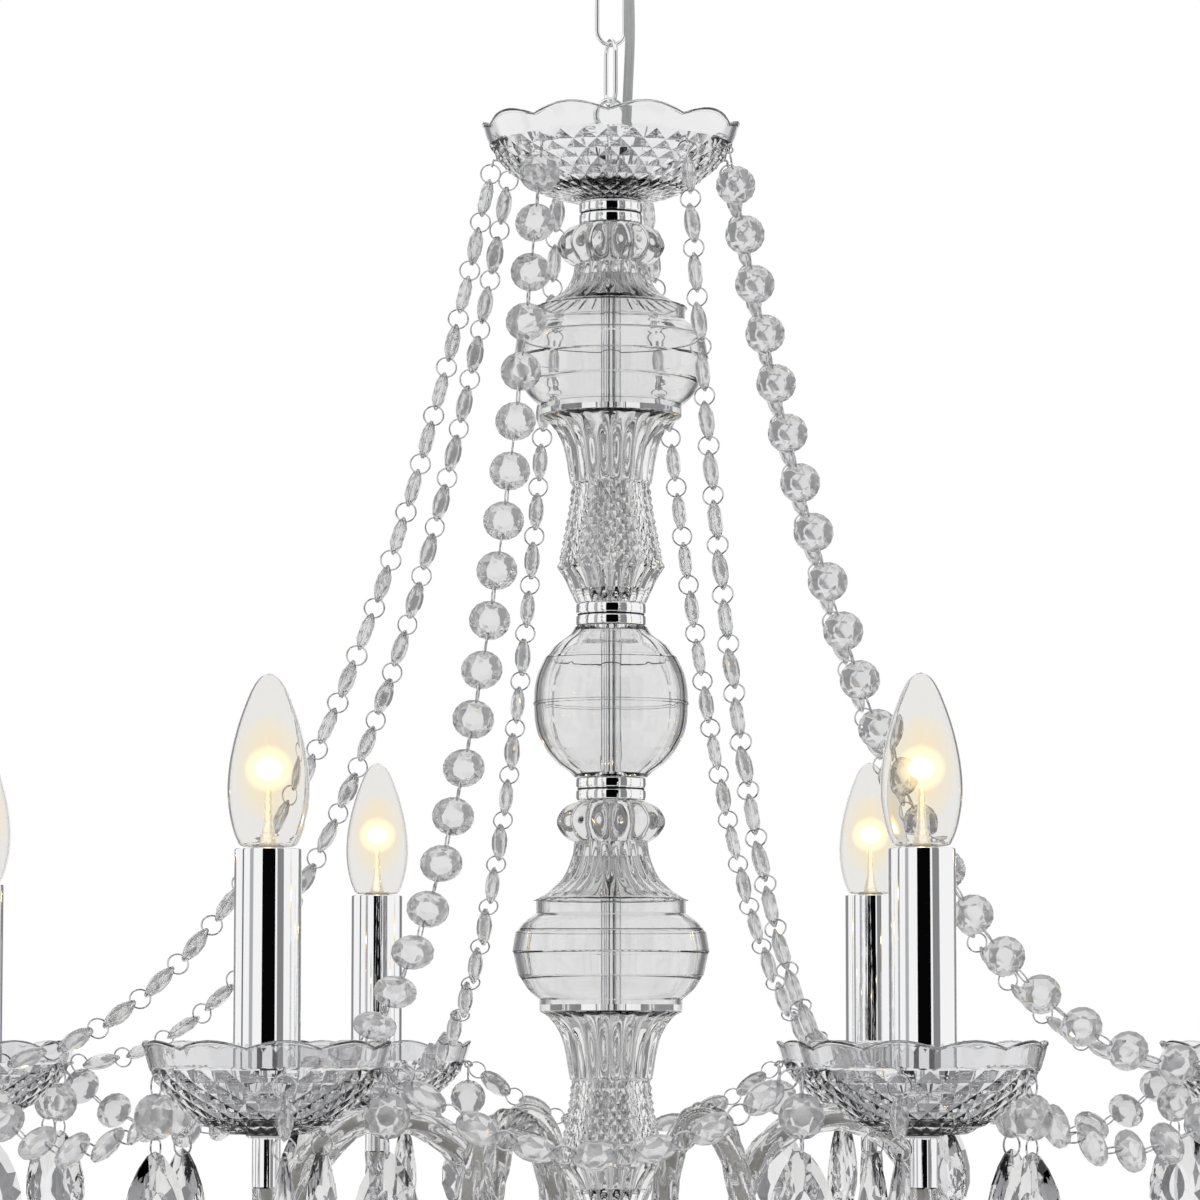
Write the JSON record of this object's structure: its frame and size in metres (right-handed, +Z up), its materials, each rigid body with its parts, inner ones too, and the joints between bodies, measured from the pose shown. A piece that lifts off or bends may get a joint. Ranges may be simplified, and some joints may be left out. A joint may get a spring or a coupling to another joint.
{
  "type": "crystal chandelier",
  "caption": "Hanging glass chandelier on a chain, with curved glass arms, candle bulbs over scalloped drip pans, bead strands and almond drops.",
  "frame": {"origin": "centre of the ceiling strap's two screw holes, on the ceiling plane", "axes": "+Z up, -Y towards the viewer, +X to the right"},
  "size_m": [0.808, 0.808, 0.8846],
  "materials": {
    "chrome": "polished",
    "crystal": "polished clear",
    "arm_glass": "clear, twisted flutes",
    "bead_crystal": "cut and polished",
    "bulb_glass": "clear, lit warm",
    "ring_wire": "polished wire",
    "cable_sleeve": "clear, tinned core",
    "holder_plastic": "satin white",
    "strap_steel": "zinc plated"
  },
  "bodies": {
    "ceiling": {"ceiling_strap": "strap_steel", "canopy": "chrome", "canopy_nipple": "strap_steel", "nipple_nuts": "strap_steel", "terminal_block": "holder_plastic", "collar_loop": "chrome", "supply_cable": "cable_sleeve"},
    "chandelier": {"top_eye": "chrome", "crown_dish": "crystal", "stem_rod": "chrome", "stem_nuts": "chrome", "collar_rings": "chrome", "upper_bell": "crystal", "upper_bowl": "crystal", "upper_vase": "crystal", "glass_ball": "crystal", "lower_bell": "crystal", "lower_bowl": "crystal", "lower_vase": "crystal", "hub_plate": "chrome", "hub_cover": "chrome", "bottom_dish": "crystal", "finial": "bead_crystal", "arm_ferrules": "chrome", "arm_wires": "holder_plastic", "arm_cups": "chrome", "drip_pans": "crystal", "candle_sleeves": "chrome", "lampholders": "holder_plastic", "dish_pins": "ring_wire", "beads": "bead_crystal", "link_rings": "ring_wire", "almond_drops": "bead_crystal", "arm_1": "arm_glass", "arm_2": "arm_glass", "arm_3": "arm_glass", "arm_4": "arm_glass", "arm_5": "arm_glass", "arm_6": "arm_glass", "arm_7": "arm_glass", "arm_8": "arm_glass"},
    "link_1": {"chain_link_1": "chrome"},
    "link_2": {"chain_link_2": "chrome"},
    "link_3": {"chain_link_3": "chrome"},
    "lamp_1": {"bulb_1": "bulb_glass"},
    "drop_1": {"outer_drop_1": "bead_crystal"},
    "lamp_2": {"bulb_2": "bulb_glass"},
    "drop_2": {"outer_drop_2": "bead_crystal"},
    "lamp_3": {"bulb_3": "bulb_glass"},
    "drop_3": {"outer_drop_3": "bead_crystal"},
    "lamp_4": {"bulb_4": "bulb_glass"},
    "drop_4": {"outer_drop_4": "bead_crystal"},
    "lamp_5": {"bulb_5": "bulb_glass"},
    "drop_5": {"outer_drop_5": "bead_crystal"},
    "lamp_6": {"bulb_6": "bulb_glass"},
    "drop_6": {"outer_drop_6": "bead_crystal"},
    "lamp_7": {"bulb_7": "bulb_glass"},
    "drop_7": {"outer_drop_7": "bead_crystal"},
    "lamp_8": {"bulb_8": "bulb_glass"},
    "drop_8": {"outer_drop_8": "bead_crystal"}
  },
  "joints": [
    {"name": "chain_top_swing", "type": "hinge", "parent": "ceiling", "child": "link_3", "pos_m": [0, 0, -0.0846], "axis": [0.9397, 0.342, 0], "range_deg": [-12, 12], "deforming": ["supply_cable"]},
    {"name": "chain_upper_swing", "type": "hinge", "parent": "link_3", "child": "link_2", "pos_m": [0, 0, -0.1151], "axis": [-0.342, 0.9397, 0], "range_deg": [-12, 12], "deforming": ["supply_cable"]},
    {"name": "chain_lower_swing", "type": "hinge", "parent": "link_2", "child": "link_1", "pos_m": [0, 0, -0.1462], "axis": [0.9397, 0.342, 0], "range_deg": [-12, 12], "deforming": ["supply_cable"]},
    {"name": "chandelier_swing", "type": "hinge", "parent": "link_1", "child": "chandelier", "pos_m": [0, 0, -0.1773], "axis": [-0.342, 0.9397, 0], "range_deg": [-10, 10], "deforming": ["supply_cable"]},
    {"name": "bulb_1_unscrew", "type": "slide", "parent": "chandelier", "child": "lamp_1", "axis": [0, 0, 1], "range_m": [0, 0.03]},
    {"name": "drop_1_swing", "type": "hinge", "parent": "chandelier", "child": "drop_1", "pos_m": [0.12828, -0.38972, -0.66325], "axis": [-0.9724, 0.2334, 0], "range_deg": [-6, 30]},
    {"name": "bulb_2_unscrew", "type": "slide", "parent": "chandelier", "child": "lamp_2", "axis": [0, 0, 1], "range_m": [0, 0.03]},
    {"name": "drop_2_swing", "type": "hinge", "parent": "chandelier", "child": "drop_2", "pos_m": [0.36629, -0.18487, -0.66325], "axis": [-0.8526, -0.5225, 0], "range_deg": [-6, 30]},
    {"name": "bulb_3_unscrew", "type": "slide", "parent": "chandelier", "child": "lamp_3", "axis": [0, 0, 1], "range_m": [0, 0.03]},
    {"name": "drop_3_swing", "type": "hinge", "parent": "chandelier", "child": "drop_3", "pos_m": [0.38972, 0.12828, -0.66325], "axis": [-0.2334, -0.9724, 0], "range_deg": [-6, 30]},
    {"name": "bulb_4_unscrew", "type": "slide", "parent": "chandelier", "child": "lamp_4", "axis": [0, 0, 1], "range_m": [0, 0.03]},
    {"name": "drop_4_swing", "type": "hinge", "parent": "chandelier", "child": "drop_4", "pos_m": [0.18487, 0.36629, -0.66325], "axis": [0.5225, -0.8526, 0], "range_deg": [-6, 30]},
    {"name": "bulb_5_unscrew", "type": "slide", "parent": "chandelier", "child": "lamp_5", "axis": [0, 0, 1], "range_m": [0, 0.03]},
    {"name": "drop_5_swing", "type": "hinge", "parent": "chandelier", "child": "drop_5", "pos_m": [-0.12828, 0.38972, -0.66325], "axis": [0.9724, -0.2334, 0], "range_deg": [-6, 30]},
    {"name": "bulb_6_unscrew", "type": "slide", "parent": "chandelier", "child": "lamp_6", "axis": [0, 0, 1], "range_m": [0, 0.03]},
    {"name": "drop_6_swing", "type": "hinge", "parent": "chandelier", "child": "drop_6", "pos_m": [-0.36629, 0.18487, -0.66325], "axis": [0.8526, 0.5225, 0], "range_deg": [-6, 30]},
    {"name": "bulb_7_unscrew", "type": "slide", "parent": "chandelier", "child": "lamp_7", "axis": [0, 0, 1], "range_m": [0, 0.03]},
    {"name": "drop_7_swing", "type": "hinge", "parent": "chandelier", "child": "drop_7", "pos_m": [-0.38972, -0.12828, -0.66325], "axis": [0.2334, 0.9724, 0], "range_deg": [-6, 30]},
    {"name": "bulb_8_unscrew", "type": "slide", "parent": "chandelier", "child": "lamp_8", "axis": [0, 0, 1], "range_m": [0, 0.03]},
    {"name": "drop_8_swing", "type": "hinge", "parent": "chandelier", "child": "drop_8", "pos_m": [-0.18487, -0.36629, -0.66325], "axis": [-0.5225, 0.8526, 0], "range_deg": [-6, 30]}
  ]
}
